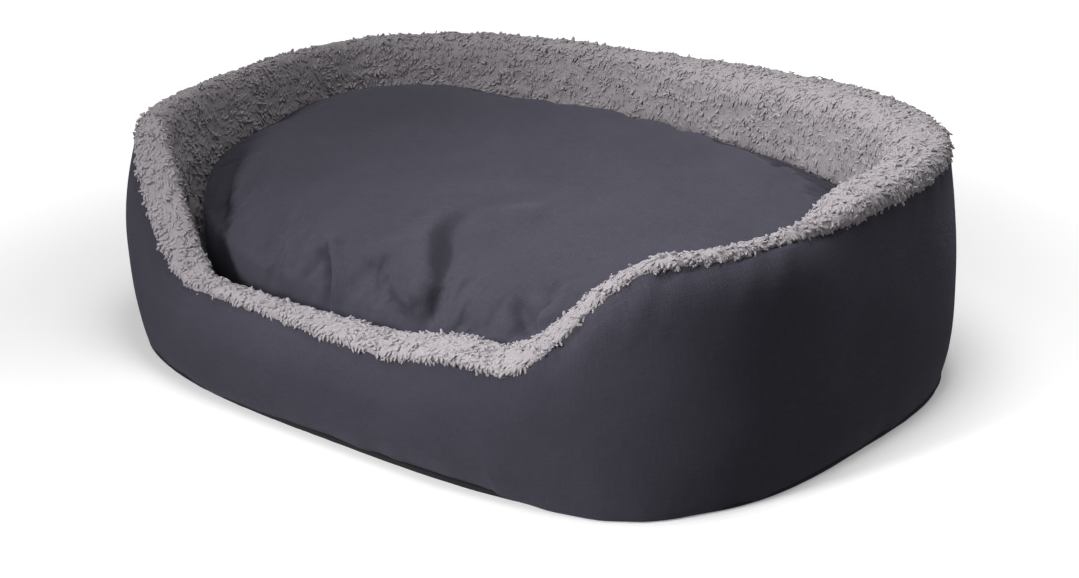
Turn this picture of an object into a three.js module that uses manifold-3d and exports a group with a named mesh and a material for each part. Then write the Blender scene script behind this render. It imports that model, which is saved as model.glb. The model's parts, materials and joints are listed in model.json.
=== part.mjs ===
// Pet cushion bed: a padded oval wall with a low entrance, a fleece lining, a sewn base and a loose cushion.
// Millimetres. +X runs along the bed to the right, +Y to the back, +Z up. The origin is on the floor,
// under the middle of the bed. The entrance is in the front wall, at -Y.

import * as THREE from 'three';
import { ParametricGeometry } from 'three/addons/geometries/ParametricGeometry.js';
import { mergeVertices } from 'three/addons/utils/BufferGeometryUtils.js';
import Module from 'manifold-3d';

const wasm = await Module();
wasm.setup();

// Driving dimensions: the wall.
const HALF_LENGTH = 375;
const HALF_DEPTH = 270;
const FRONT_POWER = 3.2; // of the superellipse that the front half of the outline follows
const BACK_POWER = 2.86; // of the back half, which is a little rounder
const SEAM_HEIGHT = 198; // where the outer cover meets the fleece, at the back and ends
const ENTRANCE_SEAM_HEIGHT = 91;
const ENTRANCE_FLAT_HALF = 178; // half the length of the entrance's level stretch
const ENTRANCE_TOP_HALF = 330; // where the wall has climbed back to its full height
const COVER_THICKNESS = 1.2;
const PILE_THICKNESS = 8; // fleece backing and pile together
const LAYER_GAP = 0.4;
const WALL_FOOT = 20; // the wall keeps its section below this height
const WALL_SHOULDER = 178; // and above this one, whatever the height of the rim

// Driving dimensions: base and floor.
const BASE_TOP = 2;
const BASE_INSET = 11.6;
const FLOOR_INSET = 61;
const FLOOR_PAD = [2.4, 10.4];
const FLOOR_LINING = [10.8, 11.8];
const BINDING = [ // [inset, height] points of its closed section
  [11.2, 0.3],
  [11, 5],
  [8.6, 5],
  [8, 0.8],
];

// Driving dimensions: the loose cushion.
const CUSHION_INSET = 62.5;
const CUSHION_POWER = 2.6; // a stuffed cushion is rounder than the well it lies in
const CUSHION_FLOOR = 12.3;
const CUSHION_SEAM = 55;
const CUSHION_CROWN_FRONT = 128;
const CUSHION_CROWN_BACK = 170;
const CUSHION_TOP_POWER = 5;
const CUSHION_RIM_POWER = 5;
const PANEL_THICKNESS = 1;
const FILLING_GAP = 2; // from the outside of the cushion's cover to its filling
const SEAM_SPLIT = 0.2; // each panel stops this far from the seam's height

// Driving dimensions: the zip, on the sloping rear flank of the cushion's underside.
const FLANK_START = 100;
const FLANK_SLOPE = 0.4;
const ZIP_Y = 150;
const ZIP_HALF = 149.5;
const ZIP_SLOT = { margin: 6.5, width: 14 }; // the opening in the cover, longer than the coils at each end
const ZIP_POCKET = { margin: 18, width: 40, depth: 12, gap: 0.5 }; // the room for the zip in the filling
const TAPE_EDGES = [3.5, 16]; // from the zip's middle line
const TAPE_LEVELS = [1.3, 1.9];
const TAPE_MARGIN = 8.5; // past the end of the coils
const COIL_RADII = [1.05, 1.1];
const COIL_Y = 2.1;
const COIL_Z = 1.6;
const STOP_LENGTH = 3;
const STOP_HALF_WIDTH = 2.8;
const STOP_LEVELS = [0.4, 2.8];
const STOP_OFFSET = 2; // past the end of the coils
const SLIDER_X = 143.5;
const SLIDER_LENGTH = 11;
const SLIDER_NOSE = 4.4; // half its width, and the radius of its round end
const SLIDER_TAIL = 3.2;
const SLIDER_PLATES = [[-1.1, 0.1], [3.1, 4.2]];
const BAIL_HALF = 3.5;
const BAIL_WIDTH = 1;
const BAIL_LEVELS = [-3.6, -2.7];
const PULL_PIVOT = 1.9; // outside the cushion's cover
const PULL_LENGTH = 16;
const PULL_HALF_WIDTH = 3.2;
const PULL_THICKNESS = 1;
const PULL_TOP = 0.5; // above the pivot
const PULL_WINDOW = [-2, 2, -4.4, -0.5]; // left, right, bottom, top

const STATIONS = 72;

// The wall filling's section: how far inside the widest outline, and how high.
const CORE = [
  [14, 2.8],
  [6, 40],
  [2, 100],
  [5, 160],
  [13, 197],
  [14.2, 198.1],
  [21, 203.5],
  [33, 205.5],
  [44, 202.5],
  [51, 190],
  [52, 120],
  [52, 40],
  [52, 2.8],
];
const COVER_POINTS = [0, 4]; // the stretch of the section that the outer cover lies on
const FLEECE_POINTS = [5, 12];

const COLOURS = {
  shell: { color: 0x34333c, roughness: 0.85 },
  cushion: { color: 0x40414b, roughness: 0.85 },
  fleece: { color: 0x989094, roughness: 1 },
  base: { color: 0x101012, roughness: 0.8 },
  filling: { color: 0xe8e8e4, roughness: 1 },
  foam: { color: 0xd9d6c8, roughness: 1 },
  tape: { color: 0x141417, roughness: 0.9 },
  coil: { color: 0x18181b, roughness: 0.5 },
  metal: { color: 0x9a9ca0, roughness: 0.35, metalness: 1 },
};

// ---- Outline and wall height ----

function outlineRadius(angle, inset, power) {
  const c = Math.abs(Math.cos(angle));
  const s = Math.abs(Math.sin(angle));
  const sum = (c / (HALF_LENGTH - inset)) ** power + (s / (HALF_DEPTH - inset)) ** power;
  return sum ** (-1 / power);
}

function outlinePoint(angle, inset) {
  const radius = outlineRadius(angle, inset, Math.sin(angle) < 0 ? FRONT_POWER : BACK_POWER);
  return [radius * Math.cos(angle), radius * Math.sin(angle)];
}

function seamHeight(angle) {
  if (Math.sin(angle) >= 0) return SEAM_HEIGHT;
  const [x] = outlinePoint(angle, 0);
  const climb = THREE.MathUtils.smoothstep(Math.abs(x), ENTRANCE_FLAT_HALF, ENTRANCE_TOP_HALF);
  return THREE.MathUtils.lerp(ENTRANCE_SEAM_HEIGHT, SEAM_HEIGHT, climb);
}

// A height in the full wall's section, carried to the wall at this angle: the rim keeps its shape as it dips.
function wallHeight(z, angle) {
  const drop = SEAM_HEIGHT - seamHeight(angle);
  if (z <= WALL_FOOT) return z;
  if (z >= WALL_SHOULDER) return z - drop;
  const share = (z - WALL_FOOT) / (WALL_SHOULDER - WALL_FOOT);
  return THREE.MathUtils.lerp(WALL_FOOT, WALL_SHOULDER - drop, share);
}

// ---- Closed solids ----

// Welds a geometry into one closed surface, drops the flat triangles at its poles and turns its faces out.
function closedGeometry(geometry) {
  geometry.deleteAttribute('normal');
  geometry.deleteAttribute('uv');
  const welded = mergeVertices(geometry, 1e-3);
  const position = welded.getAttribute('position');
  const corner = [new THREE.Vector3(), new THREE.Vector3(), new THREE.Vector3()];
  const index = [];
  let volume = 0;
  for (let i = 0; i < welded.index.count; i += 3) {
    const [a, b, c] = [0, 1, 2].map((k) => welded.index.getX(i + k));
    if (a === b || b === c || c === a) continue;
    [a, b, c].forEach((v, k) => corner[k].fromBufferAttribute(position, v));
    volume += corner[0].dot(corner[1].clone().cross(corner[2]));
    index.push([a, b, c]);
  }
  const facing = volume < 0 ? index.map(([a, b, c]) => [a, c, b]) : index;
  const closed = new THREE.BufferGeometry();
  closed.setAttribute('position', position);
  closed.setIndex(facing.flat());
  return closed;
}

function toManifold(geometry) {
  const closed = closedGeometry(geometry);
  const vertProperties = Float32Array.from(closed.getAttribute('position').array);
  const triVerts = Uint32Array.from(closed.index.array);
  return new wasm.Manifold(new wasm.Mesh({ numProp: 3, vertProperties, triVerts }));
}

function fromManifold(solid) {
  const mesh = solid.getMesh();
  const geometry = new THREE.BufferGeometry();
  geometry.setAttribute('position', new THREE.BufferAttribute(mesh.vertProperties, 3));
  geometry.setIndex(new THREE.BufferAttribute(mesh.triVerts, 1));
  return geometry;
}

// A ring round the bed: a closed section of [inset, height] points, carried along the outline.
function ringGeometry(section) {
  const surface = (u, v, target) => {
    const angle = 2 * Math.PI * u;
    const [inset, z] = section[Math.round(v * section.length) % section.length];
    const [x, y] = outlinePoint(angle, inset);
    target.set(x, y, wallHeight(z, angle));
  };
  return closedGeometry(new ParametricGeometry(surface, STATIONS, section.length));
}

// A closed skin or pad made of rows of points round the bed, whose first and last rows are poles.
function rowsGeometry(rows) {
  const surface = (u, v, target) => {
    const row = rows[Math.round(v * (rows.length - 1))];
    target.set(...row(2 * Math.PI * u));
  };
  return closedGeometry(new ParametricGeometry(surface, STATIONS, rows.length - 1));
}

function plateGeometry(inset, [bottom, top]) {
  const points = [];
  for (let i = 0; i < STATIONS; i += 1) {
    points.push(new THREE.Vector2(...outlinePoint((2 * Math.PI * i) / STATIONS, inset)));
  }
  const options = { depth: top - bottom, bevelEnabled: false };
  const geometry = new THREE.ExtrudeGeometry(new THREE.Shape(points), options);
  geometry.translate(0, 0, bottom);
  return closedGeometry(geometry);
}

// Part of the wall section moved outwards by a distance, as [inset, height] points.
function offsetStretch([first, last], distance) {
  const points = [];
  for (let i = first; i <= last; i += 1) {
    const before = CORE[Math.max(i - 1, first)];
    const after = CORE[Math.min(i + 1, last)];
    const along = new THREE.Vector2(after[0] - before[0], after[1] - before[1]).normalize();
    points.push([CORE[i][0] - along.y * distance, CORE[i][1] + along.x * distance]);
  }
  return points;
}

function layerGeometry(stretch, thickness) {
  const inner = offsetStretch(stretch, LAYER_GAP);
  const outer = offsetStretch(stretch, LAYER_GAP + thickness);
  return ringGeometry([...inner, ...outer.reverse()]);
}

function boxSolid([width, depth, height], place) {
  const geometry = new THREE.BoxGeometry(width, depth, height);
  geometry.applyMatrix4(place);
  return toManifold(geometry);
}

// ---- Wall, base and floor ----

// A stretch of the wall filling between two angles, in degrees, with a thin gap at each end.
function wallFilling(fromDegrees, toDegrees) {
  const reach = 2 * HALF_LENGTH;
  const height = 2 * SEAM_HEIGHT;
  const sector = new THREE.Shape();
  sector.moveTo(0, 0);
  for (let i = 0; i <= 4; i += 1) {
    const angle = THREE.MathUtils.degToRad(THREE.MathUtils.lerp(fromDegrees, toDegrees, i / 4));
    sector.lineTo(reach * Math.cos(angle), reach * Math.sin(angle));
  }
  const wedge = new THREE.ExtrudeGeometry(sector, { depth: height, bevelEnabled: false });
  wedge.translate(0, 0, -1);
  let solid = toManifold(ringGeometry(CORE)).intersect(toManifold(wedge));
  for (const degrees of [fromDegrees, toDegrees]) {
    const place = new THREE.Matrix4().makeRotationZ(THREE.MathUtils.degToRad(degrees));
    solid = solid.subtract(boxSolid([2 * reach, LAYER_GAP, 2 * height], place));
  }
  return fromManifold(solid);
}

// A soft binding round the foot of the wall, over the edges of the cover and the base.
function bindingGeometry() {
  return ringGeometry(BINDING);
}

// ---- Cushion ----

function cushionPoint(angle, rho, shrink) {
  const radius = rho * outlineRadius(angle, CUSHION_INSET + shrink, CUSHION_POWER);
  return [radius * Math.cos(angle), radius * Math.sin(angle)];
}

function cushionTop(rho, shrink) {
  return (angle) => {
    const [x, y] = cushionPoint(angle, rho, shrink);
    const depthShare = 0.5 + (0.5 * y) / (HALF_DEPTH - CUSHION_INSET);
    const crown = THREE.MathUtils.lerp(CUSHION_CROWN_FRONT, CUSHION_CROWN_BACK, depthShare);
    const dome = (1 - rho ** CUSHION_TOP_POWER) ** (1 / CUSHION_TOP_POWER);
    return [x, y, CUSHION_SEAM + SEAM_SPLIT + (crown - CUSHION_SEAM - shrink) * dome];
  };
}

function cushionUnderside(rho, shrink) {
  return (angle) => {
    const [x, y] = cushionPoint(angle, rho, shrink);
    const flank = FLANK_SLOPE * Math.max(0, y - FLANK_START);
    const dome = (1 - rho ** CUSHION_RIM_POWER) ** (1 / CUSHION_RIM_POWER);
    const roll = (CUSHION_SEAM - CUSHION_FLOOR) * (1 - dome);
    const z = CUSHION_FLOOR + Math.max(flank, roll) + shrink;
    return [x, y, Math.min(z, CUSHION_SEAM - SEAM_SPLIT)];
  };
}

const TOP_ROWS = [0, 0.45, 0.72, 0.87, 0.96, 1];
const UNDER_ROWS = [0, 0.35, 0.5, 0.62, 0.74, 0.86, 0.95, 1];

function cushionSkin(rows, surface) {
  const outside = rows.map((rho) => surface(rho, 0));
  const inside = rows.map((rho) => surface(rho, PANEL_THICKNESS));
  return rowsGeometry([...outside, ...inside.reverse()]);
}

// The zip's own frame: its middle on the cushion's outside, +Z into the cushion.
function zipFrame() {
  const height = CUSHION_FLOOR + FLANK_SLOPE * (ZIP_Y - FLANK_START);
  const frame = new THREE.Matrix4().makeRotationX(Math.atan(FLANK_SLOPE));
  return frame.setPosition(0, ZIP_Y, height);
}

// One of the two panels that the zip joins: the underside, in front of the zip or behind it.
function undersidePanel(side) {
  const skin = toManifold(cushionSkin(UNDER_ROWS, cushionUnderside));
  const keep = [2 * HALF_LENGTH, 2 * HALF_DEPTH, 2 * SEAM_HEIGHT];
  const keepY = ZIP_Y + side * (HALF_DEPTH + LAYER_GAP / 2);
  const half = boxSolid(keep, new THREE.Matrix4().makeTranslation(0, keepY, 0));
  const opening = [2 * (ZIP_HALF + ZIP_SLOT.margin), ZIP_SLOT.width, keep[2]];
  const slot = boxSolid(opening, new THREE.Matrix4().makeTranslation(0, ZIP_Y, 0));
  return fromManifold(skin.intersect(half).subtract(slot));
}

function cushionFilling() {
  const top = TOP_ROWS.map((rho) => cushionTop(rho, FILLING_GAP));
  const under = UNDER_ROWS.slice(0, -1).map((rho) => cushionUnderside(rho, FILLING_GAP));
  const body = toManifold(rowsGeometry([...top, ...under.reverse()]));
  const place = zipFrame().multiply(new THREE.Matrix4().makeTranslation(0, 0, ZIP_POCKET.gap));
  const pocket = [2 * (ZIP_HALF + ZIP_POCKET.margin), ZIP_POCKET.width, ZIP_POCKET.depth];
  return fromManifold(body.subtract(boxSolid(pocket, place)));
}

// ---- Zip, in the zip's own frame ----

function zipBar(length, [fromY, toY], [fromZ, toZ]) {
  const geometry = new THREE.BoxGeometry(length, toY - fromY, toZ - fromZ);
  geometry.translate(0, (fromY + toY) / 2, (fromZ + toZ) / 2);
  return geometry;
}

// A coil row: a low rounded rib along the tape's inner edge.
function zipCoil(side) {
  const section = new THREE.Shape();
  section.absellipse(0, 0, ...COIL_RADII, 0, 2 * Math.PI);
  const options = { depth: 2 * ZIP_HALF, bevelEnabled: false, curveSegments: 5 };
  const coil = new THREE.ExtrudeGeometry(section, options);
  coil.rotateZ(Math.PI / 2);
  coil.rotateY(Math.PI / 2);
  coil.translate(-ZIP_HALF, side * COIL_Y, COIL_Z);
  return closedGeometry(coil);
}

// Two plates on a post, one each side of the coils, with a bail outside for the pull.
function zipSlider() {
  const plate = new THREE.Shape();
  const half = SLIDER_LENGTH / 2;
  plate.moveTo(-half, -SLIDER_TAIL);
  plate.lineTo(0, -SLIDER_NOSE);
  plate.absarc(half - SLIDER_NOSE, 0, SLIDER_NOSE, -Math.PI / 2, Math.PI / 2, false);
  plate.lineTo(0, SLIDER_NOSE);
  plate.lineTo(-half, SLIDER_TAIL);
  const post = zipBar(4, [-0.6, 0.6], [-0.5, 3.5]);
  const bailBar = zipBar(2 * BAIL_HALF + BAIL_WIDTH, [-BAIL_WIDTH, BAIL_WIDTH], BAIL_LEVELS);
  let solid = toManifold(post).add(toManifold(bailBar));
  for (const [bottom, top] of SLIDER_PLATES) {
    const options = { depth: top - bottom, bevelEnabled: false, curveSegments: 6 };
    const geometry = new THREE.ExtrudeGeometry(plate, options);
    geometry.translate(0, 0, bottom);
    solid = solid.add(toManifold(geometry));
  }
  for (const x of [-BAIL_HALF, BAIL_HALF]) {
    const leg = zipBar(BAIL_WIDTH, [-BAIL_WIDTH, BAIL_WIDTH], [-3, -0.9]);
    leg.translate(x, 0, 0);
    solid = solid.add(toManifold(leg));
  }
  return fromManifold(solid);
}

// A flat tab with a window at its top, whose top bar lies in the slider's bail. It hangs from the pivot.
function zipPull() {
  const tab = new THREE.Shape();
  const half = PULL_HALF_WIDTH;
  tab.moveTo(-half, PULL_TOP);
  tab.lineTo(-half, -PULL_LENGTH + half);
  tab.absarc(0, -PULL_LENGTH + half, half, Math.PI, 2 * Math.PI, false);
  tab.lineTo(half, PULL_TOP);
  const [left, right, bottom, top] = PULL_WINDOW;
  const pullWindow = new THREE.Path();
  pullWindow.moveTo(left, top);
  pullWindow.lineTo(right, top);
  pullWindow.lineTo(right, bottom);
  pullWindow.lineTo(left, bottom);
  tab.holes.push(pullWindow);
  const options = { depth: PULL_THICKNESS, bevelEnabled: false, curveSegments: 6 };
  const geometry = new THREE.ExtrudeGeometry(tab, options);
  geometry.translate(0, 0, -PULL_THICKNESS / 2);
  geometry.rotateX(Math.PI / 2);
  geometry.rotateZ(Math.PI / 2);
  geometry.translate(0, 0, -PULL_PIVOT);
  return closedGeometry(geometry);
}

// ---- Assembly ----

function part(name, geometry, look) {
  const mesh = new THREE.Mesh(geometry, new THREE.MeshStandardMaterial(COLOURS[look]));
  mesh.name = name;
  return mesh;
}

const bed = new THREE.Group();
bed.add(
  part('nonslip_base', plateGeometry(BASE_INSET, [0, BASE_TOP]), 'base'),
  part('base_binding', bindingGeometry(), 'base'),
  part('floor_pad', plateGeometry(FLOOR_INSET, FLOOR_PAD), 'foam'),
  part('floor_lining', plateGeometry(FLOOR_INSET, FLOOR_LINING), 'shell'),
  part('wall_filling_right', wallFilling(-36, 36), 'foam'),
  part('wall_filling_back', wallFilling(36, 144), 'foam'),
  part('wall_filling_left', wallFilling(144, 216), 'foam'),
  part('wall_filling_front', wallFilling(216, 324), 'foam'),
  part('outer_cover', layerGeometry(COVER_POINTS, COVER_THICKNESS), 'shell'),
  part('fleece_lining', layerGeometry(FLEECE_POINTS, PILE_THICKNESS - LAYER_GAP), 'fleece'),
);

const cushion = new THREE.Group();
cushion.add(
  part('cushion_top_panel', cushionSkin(TOP_ROWS, cushionTop), 'cushion'),
  part('cushion_base_panel_front', undersidePanel(-1), 'cushion'),
  part('cushion_base_panel_rear', undersidePanel(1), 'cushion'),
  part('cushion_filling', cushionFilling(), 'filling'),
);

const zip = new THREE.Group();
zip.applyMatrix4(zipFrame());
for (const [name, side] of [['front', -1], ['rear', 1]]) {
  const edges = TAPE_EDGES.map((y) => side * y).sort((a, b) => a - b);
  const tape = zipBar(2 * (ZIP_HALF + TAPE_MARGIN), edges, TAPE_LEVELS);
  zip.add(part(`zip_tape_${name}`, closedGeometry(tape), 'tape'));
  zip.add(part(`zip_coil_${name}`, zipCoil(side), 'coil'));
}
for (const [name, side] of [['left', -1], ['right', 1]]) {
  const bar = zipBar(STOP_LENGTH, [-STOP_HALF_WIDTH, STOP_HALF_WIDTH], STOP_LEVELS);
  const stop = part(`zip_stop_${name}`, closedGeometry(bar), 'metal');
  stop.position.x = side * (ZIP_HALF + STOP_OFFSET);
  zip.add(stop);
}
const slider = new THREE.Group();
slider.position.x = SLIDER_X;
slider.add(part('zip_slider', zipSlider(), 'metal'), part('zip_pull', zipPull(), 'metal'));
zip.add(slider);

cushion.add(zip);
bed.add(cushion);

export default bed;
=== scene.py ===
import itertools
import json
import math

import bmesh
import bpy
import numpy as np
from mathutils import Matrix, Vector


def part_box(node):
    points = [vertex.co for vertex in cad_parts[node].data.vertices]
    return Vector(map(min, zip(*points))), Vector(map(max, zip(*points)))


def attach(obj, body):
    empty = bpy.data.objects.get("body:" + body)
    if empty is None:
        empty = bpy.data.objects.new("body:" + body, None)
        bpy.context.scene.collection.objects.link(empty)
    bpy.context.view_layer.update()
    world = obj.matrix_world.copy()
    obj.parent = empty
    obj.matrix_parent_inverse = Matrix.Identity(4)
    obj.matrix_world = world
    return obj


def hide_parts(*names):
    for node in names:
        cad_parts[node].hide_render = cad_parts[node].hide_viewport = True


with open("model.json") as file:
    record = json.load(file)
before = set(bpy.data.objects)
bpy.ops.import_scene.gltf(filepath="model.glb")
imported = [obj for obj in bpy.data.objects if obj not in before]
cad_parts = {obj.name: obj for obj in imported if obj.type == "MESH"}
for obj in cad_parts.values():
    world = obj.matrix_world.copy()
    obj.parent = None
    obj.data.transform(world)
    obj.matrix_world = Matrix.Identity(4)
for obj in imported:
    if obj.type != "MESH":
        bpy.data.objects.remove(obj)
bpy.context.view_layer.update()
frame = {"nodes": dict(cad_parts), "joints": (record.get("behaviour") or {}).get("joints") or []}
cover_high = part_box("outer_cover")[1]
joints = {joint["name"]: joint for joint in frame["joints"]}

# Driving values: the wall's outline.
HALF_LENGTH = cover_high.x
HALF_DEPTH = cover_high.y
BACK_POWER = 2.855  # of the superellipse that the back half of the outline follows
FRONT_LEFT_POWER = 2.96
FRONT_RIGHT_POWER = 3.46
TAU = 2 * math.pi

# Driving values: the wall's height at the seam between cover and fleece.
SEAM_HEIGHT = 0.198
ENTRANCE_SEAM_HEIGHT = 0.0907
LEFT_DROP = 0.0045
BACK_SAG = 0.0051
CLIMB_RIGHT = (0.1960, 0.3350)  # the entrance's wall climbs between these distances from the middle
CLIMB_LEFT = (0.1852, 0.3256)
ENTRANCE_LIFT = 0.0145  # the entrance's right end stands a little higher
ENTRANCE_LIFT_X = 0.178
ENTRANCE_LIFT_WIDTH = 0.070

# Driving values: how far the cover leans in from the outline.
FOOT_INSET = 0.0094
FOOT_CORNER = 0.009  # the foot pokes out at the front right corner
FOOT_CORNER_ANGLE = math.radians(321)
FOOT_CORNER_WIDTH = 0.16
SEAM_INSET_RIGHT = 0.0069
SEAM_INSET_LEFT = 0.0240
SHOULDER_INSET = 0.0078  # more, where the rim is pressed down
LEFT_CORNER_INSET = -0.0100  # less, where the rim bulges out at the front left corner
LEFT_CORNER = math.radians(223)
LEFT_CORNER_WIDTH = 0.27  # radians
COVER_THICKNESS = 0.0012
HEM_HEIGHT = 0.0012
RAISED_HEM = 0.0052
RAISED_HEM_SPAN = (-0.125, 0.186)  # where the black base shows under the front of the cover
HEM_PLEAT_X = 0.186
HEM_PLEAT_STEP = 0.004

# Driving values: the foam in the wall.
FOAM_GAP = 0.0045  # to the cover
FOAM_WELL_GAP = 0.004  # and to the fleece inside
FOAM_TOP_GAP = 0.003
FOAM_FOOT = 0.004  # its lower edge stands back from the binding
FOAM_LOW = 0.0035  # and its underside is just over the base

# Driving values: the fleece.
WELL_INSET = 0.0540
WELL_INSET_LEFT = 0.0425
WELL_FOOT_LEAN = 0.0020  # how much further in the fleece is at the floor
CROWN_BACK = 0.0155
CROWN_FRONT = 0.0082
TUFT_SPACING = 0.0031
TUFT_SPACING_LOW = 0.0054  # on the part of the inner face that the cushion covers
COVERED_BELOW = 0.115
TUFT_LENGTH = (0.0030, 0.0052)
TUFT_RADIUS = (0.0011, 0.0021)
TUFT_FLATNESS = 0.6
TUFT_SIDES = 4
TUFT_SUNK = 0.0007  # how far its root is in the backing
FLEECE_COLUMNS = 900
RIM_ROWS = 36
INNER_ROWS = 52
SLUMP_START = (308, 324)  # bearings in degrees, along the front wall
SLUMP_END = (345, 359.5)

# Driving values: the cushion.
CUSHION_INSET = 0.0590
CUSHION_INSET_LEFT = 0.0475
CUSHION_POWER = 2.55
CUSHION_SEAM = 0.060
CUSHION_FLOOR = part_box("cushion_base_panel_front")[0].z
CROWN_LOW = 0.128
CROWN_HIGH = 0.165
CROWN_TILT = 0.032  # slope from left to right: the left is higher
CROWN_LEFT_RISE = 0.015  # and the filling is bunched up at its left end
CUSHION_TOP_POWER_FRONT = 4.2
CUSHION_TOP_POWER_BACK = 8.0
CUSHION_RIM_POWER = 5.0
FILLING_GAP = 0.0045  # between the cushion's cover and the filling's bag
FLANK_START = 0.100
FLANK_SLOPE = 0.4
CUSHION_THICKNESS = 0.0010  # of its cloth
CUSHION_GRID = 121
STUFFING_FRAMES = 20
STUFFING_LIMIT = 0.009  # the most that the filling pushes a point of the top

# Driving values: the base, its binding and the zip.
BINDING_STITCH = (0.0030, 0.0006, 0.0006)
BINDING_STITCH_SPACING = 0.0042
ZIP_STITCH = (0.0026, 0.0006, 0.0006)
ZIP_STITCH_SPACING = 0.0036
ZIP_STITCHED_HALF = 0.154
ZIP_SLOT = (0.156, 0.0068)  # half the length and width of the opening in the cushion's underside
PULL_PIVOT = 0.0019  # from the zip's middle plane out to the pull's hinge

# Driving values: the camera.
CAMERA_ANGLES = (42.511, 20.104, -2.385)  # azimuth, elevation and roll, in degrees
CAMERA_DISTANCE = 1.871
CAMERA_TARGET = (0, 0, 0.080)
CAMERA_LENS = 69.75
CAMERA_SHIFT = (0.01258, -0.02995)

# ---- Numbers ----


def lattice(points, scale, seed):
    """Smooth noise from -1 to 1 at each of the points. scale is the size of a cell."""
    cell = np.asarray(points, float) / scale
    base = np.floor(cell).astype(np.int64)
    share = cell - base
    share = share * share * (3 - 2 * share)
    total = np.zeros(cell.shape[:-1])
    for corner in itertools.product((0, 1), repeat=cell.shape[-1]):
        index = base + np.array(corner)
        key = np.full(total.shape, seed * 7919 + 17, np.int64)
        for axis, prime in enumerate((73856093, 19349663, 83492791)[: len(corner)]):
            key = (key ^ (index[..., axis] * prime)) & 0x7FFFFFFF
            key = (key * 1103515245 + 12345) & 0x7FFFFFFF
            key = key ^ (key >> 15)
        value = (key & 0xFFFF) / 32767.5 - 1
        weight = np.prod(np.where(corner, share, 1 - share), axis=-1)
        total += value * weight
    return total


def ripples(points, *layers):
    """Smooth noise in several sizes: each layer is its height, the size of its cells and its seed."""
    return sum(height * lattice(points, cell, seed) for height, cell, seed in layers)


def smoothstep(value, start, stop):
    share = np.clip((value - start) / (stop - start), 0, 1)
    return share * share * (3 - 2 * share)


def lerp(start, stop, share):
    return start + (stop - start) * share


def bump(value, middle, width):
    """1 at the middle, falling to nothing over about twice the width."""
    return np.exp(-(((value - middle) / width) ** 2))


def xyz(x, y, z):
    return np.stack(np.broadcast_arrays(x, y, z), axis=-1)


def unit(vectors):
    return vectors / np.maximum(np.linalg.norm(vectors, axis=-1, keepdims=True), 1e-12)


# ---- The wall's shape ----


def outline_power(angle):
    front = 0.5 - 0.5 * np.tanh(np.sin(angle) / 0.15)
    right = 0.5 + 0.5 * np.tanh(np.cos(angle) / 0.15)
    return lerp(BACK_POWER, lerp(FRONT_LEFT_POWER, FRONT_RIGHT_POWER, right), front)


def superellipse(angle, half_x, half_y, power):
    """x and y of an outline in the direction of each angle."""
    across = np.abs(np.cos(angle)) / half_x
    along = np.abs(np.sin(angle)) / half_y
    radius = (across**power + along**power) ** (-1 / power)
    return radius * np.cos(angle), radius * np.sin(angle)


def outline(angle, inset):
    return superellipse(angle, HALF_LENGTH - inset, HALF_DEPTH - inset, outline_power(angle))


def at_inset(angle, inset, z):
    """Points at a height, this far in from the outline."""
    x, y = outline(angle, inset)
    return xyz(x, y, z)


def even_angles(count):
    """Angles that divide the outline into equal lengths, from the middle of the back, and its length."""
    fine = math.pi / 2 + np.linspace(0, TAU, 7201)
    x, y = outline(fine, 0)
    steps = np.hypot(np.diff(x), np.diff(y))
    travelled = np.concatenate([[0], np.cumsum(steps)])
    wanted = np.arange(count) * travelled[-1] / count
    return np.interp(wanted, travelled, fine), travelled[-1]


def seam_height(angle):
    x, y = outline(angle, 0)
    start = np.where(x > 0, CLIMB_RIGHT[0], CLIMB_LEFT[0])
    stop = np.where(x > 0, CLIMB_RIGHT[1], CLIMB_LEFT[1])
    climb = smoothstep(np.abs(x), start, stop)
    front = 1 / (1 + np.exp(y / 0.015))
    entrance = (SEAM_HEIGHT - ENTRANCE_SEAM_HEIGHT) * (1 - climb) * front
    left = np.maximum(-np.cos(angle), 0)
    back = np.maximum(np.sin(angle), 0) ** 2
    lift = ENTRANCE_LIFT * bump(x, ENTRANCE_LIFT_X, ENTRANCE_LIFT_WIDTH) * front
    return SEAM_HEIGHT - LEFT_DROP * left - entrance - BACK_SAG * back + lift


def leftness(angle):
    return 0.5 - 0.5 * np.tanh((np.cos(angle) + 0.1) / 0.42)


def slump(angle):
    """1 where the rim is pressed down inwards, to the right of the entrance, and 0 elsewhere."""
    bearing = np.degrees(angle) % 360
    return smoothstep(bearing, *SLUMP_START) * (1 - smoothstep(bearing, *SLUMP_END))


def seam_inset(angle):
    corner = LEFT_CORNER_INSET * bump(angle % TAU, LEFT_CORNER, LEFT_CORNER_WIDTH)
    even = lerp(SEAM_INSET_RIGHT, SEAM_INSET_LEFT, leftness(angle))
    return even + SHOULDER_INSET * slump(angle) + corner


def well_inset(angle):
    return lerp(WELL_INSET, WELL_INSET_LEFT, leftness(angle))


def wall_inset(angle, share):
    """How far the cover leans in from the outline at this share of its height."""
    low = np.clip((0.5 - share) / 0.5, 0, 1)
    high = np.clip((share - 0.5) / 0.5, 0, 1)
    foot = FOOT_INSET - FOOT_CORNER * bump(angle % TAU, FOOT_CORNER_ANGLE, FOOT_CORNER_WIDTH)
    return foot * low**3 + seam_inset(angle) * lerp(high**2, high**9, slump(angle))


def hem_height(angle):
    """The foot of the cover: it rises over the front of the base, up to a pleat."""
    x, y = outline(angle, 0)
    rise = smoothstep(x, RAISED_HEM_SPAN[0], sum(RAISED_HEM_SPAN) / 2)
    rise *= 1 - smoothstep(x, HEM_PLEAT_X - HEM_PLEAT_STEP, HEM_PLEAT_X + HEM_PLEAT_STEP)
    return HEM_HEIGHT + (RAISED_HEM - HEM_HEIGHT) * rise * (y < 0)


# ---- Meshes ----


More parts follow.
